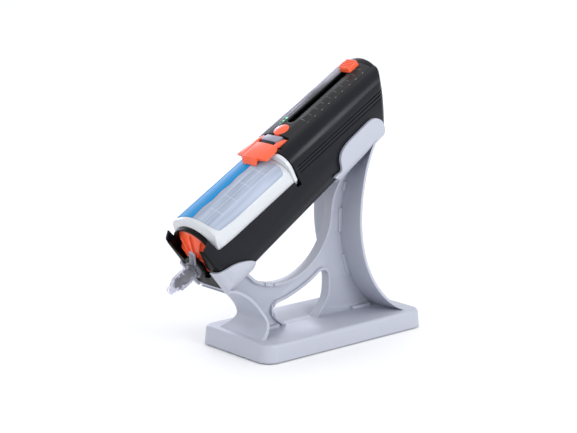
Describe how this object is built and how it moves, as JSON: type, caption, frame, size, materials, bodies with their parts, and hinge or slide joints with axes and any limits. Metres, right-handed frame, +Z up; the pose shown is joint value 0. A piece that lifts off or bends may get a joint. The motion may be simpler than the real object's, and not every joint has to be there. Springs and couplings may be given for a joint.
{
  "type": "cartridge dispenser",
  "caption": "Battery dispenser that mixes a two-part paste from a cartridge through a clear tip, leaning in its table stand.",
  "frame": {"origin": "centre of the underside of the whole object's bounding box, on the table", "axes": "+Z up, -Y towards the mixing tip, +X the dispenser's left side seen from behind the tip"},
  "size_m": [0.11, 0.2992, 0.2855],
  "materials": {
    "stand_grey": "satin moulded plastic",
    "rubber": "soft rubber",
    "steel": "turned steel",
    "body_black": "semi-gloss moulded plastic",
    "panel_dark": "fine-textured inlay",
    "rotor_grey": "dark moulded plastic",
    "hinge_grey": "satin grey moulded block",
    "orange_plastic": "glossy moulded plastic",
    "cartridge_white": "milky plastic",
    "clear_plastic": "clear moulded plastic",
    "gear_plastic": "moulded acetal",
    "motor_can": "drawn steel can",
    "board_green": "coated circuit board",
    "light_lens": "moulded lens",
    "cell_wrap": "shrink-wrapped cell"
  },
  "bodies": {
    "stand": {"stand_base": "stand_grey", "base_feet": "rubber", "base_screws": "steel", "side_web": "stand_grey", "front_leg": "stand_grey", "back_column": "stand_grey", "front_cradle": "stand_grey", "rear_cradle": "stand_grey"},
    "dispenser": {"lower_housing": "body_black", "upper_housing": "body_black", "top_panel": "panel_dark", "front_bezel": "body_black", "bulkhead": "rotor_grey", "motor_plate": "steel", "rear_plate": "steel", "hinge_block": "hinge_grey", "latch_pin": "steel", "cartridge_shell": "cartridge_white", "cartridge_barrels": "cartridge_white", "cartridge_cap": "orange_plastic", "mixer_motor": "motor_can", "feed_motor": "motor_can", "button_switch": "rotor_grey", "circuit_board": "board_green", "indicator_lights": "light_lens", "battery_cells": "cell_wrap", "charging_socket": "rotor_grey"},
    "latch_flap": {"latch": "orange_plastic"},
    "start_key": {"start_button": "orange_plastic"},
    "plunger": {"carriage": "rotor_grey", "plunger_rods": "steel", "plunger_discs": "steel", "slider_knob": "orange_plastic"},
    "pistons": {"base_piston": "cartridge_white", "catalyst_piston": "cartridge_white"},
    "feed_shaft": {"lead_screw": "steel", "feed_gear": "gear_plastic"},
    "feed_pinion_shaft": {"feed_pinion": "gear_plastic"},
    "mixer_shaft": {"drive_shaft": "steel", "mixer_gear": "gear_plastic", "mixer_rotor": "rotor_grey"},
    "mixer_pinion_shaft": {"mixer_pinion": "gear_plastic"},
    "tip": {"mixing_tip": "clear_plastic", "tip_collar": "clear_plastic"}
  },
  "joints": [
    {"name": "dispenser_lift", "type": "slide", "parent": "stand", "child": "dispenser", "axis": [0, -0.5, 0.866], "range_m": [0, 0.06]},
    {"name": "latch_hinge", "type": "hinge", "parent": "dispenser", "child": "latch_flap", "pos_m": [0, -0.01302, 0.21004], "axis": [-1, 0, 0], "range_deg": [0, 70]},
    {"name": "start_button_press", "type": "slide", "parent": "dispenser", "child": "start_key", "axis": [0, 0.5, -0.866], "range_m": [0, 0.0015], "stiffness_N_per_m": 300},
    {"name": "plunger_feed", "type": "slide", "parent": "dispenser", "child": "plunger", "axis": [0, -0.866, -0.5], "range_m": [0, 0.085]},
    {"name": "piston_feed", "type": "slide", "parent": "dispenser", "child": "pistons", "axis": [0, -0.866, -0.5], "range_m": [0, 0.085]},
    {"name": "feed_screw_turn", "type": "hinge", "parent": "dispenser", "child": "feed_shaft", "pos_m": [0.0065, 0.04824, 0.21192], "axis": [0, 0.866, 0.5], "range_deg": [0, 3825]},
    {"name": "feed_pinion_turn", "type": "hinge", "parent": "dispenser", "child": "feed_pinion_shaft", "pos_m": [0.01, 0.1019, 0.21899], "axis": [0, 0.866, 0.5], "range_deg": [-9562.5, 0]},
    {"name": "mixer_spin", "type": "hinge", "parent": "dispenser", "child": "mixer_shaft", "pos_m": [0, -0.0645, 0.1272], "axis": [0, 0.866, 0.5], "continuous": true},
    {"name": "mixer_pinion_turn", "type": "hinge", "parent": "dispenser", "child": "mixer_pinion_shaft", "pos_m": [-0.01651, 0.01097, 0.16248], "axis": [0, 0.866, 0.5], "continuous": true},
    {"name": "tip_twist", "type": "hinge", "parent": "dispenser", "child": "tip", "pos_m": [0, -0.12512, 0.0922], "axis": [0, -0.866, -0.5], "range_deg": [0, 80]}
  ],
  "couplings": [
    {"joint": "piston_feed", "follows": "plunger_feed", "ratio": 1},
    {"joint": "feed_screw_turn", "follows": "plunger_feed", "rad_per_m": 785.4},
    {"joint": "feed_pinion_turn", "follows": "plunger_feed", "rad_per_m": -1963.5},
    {"joint": "mixer_pinion_turn", "follows": "mixer_spin", "ratio": -2}
  ]
}
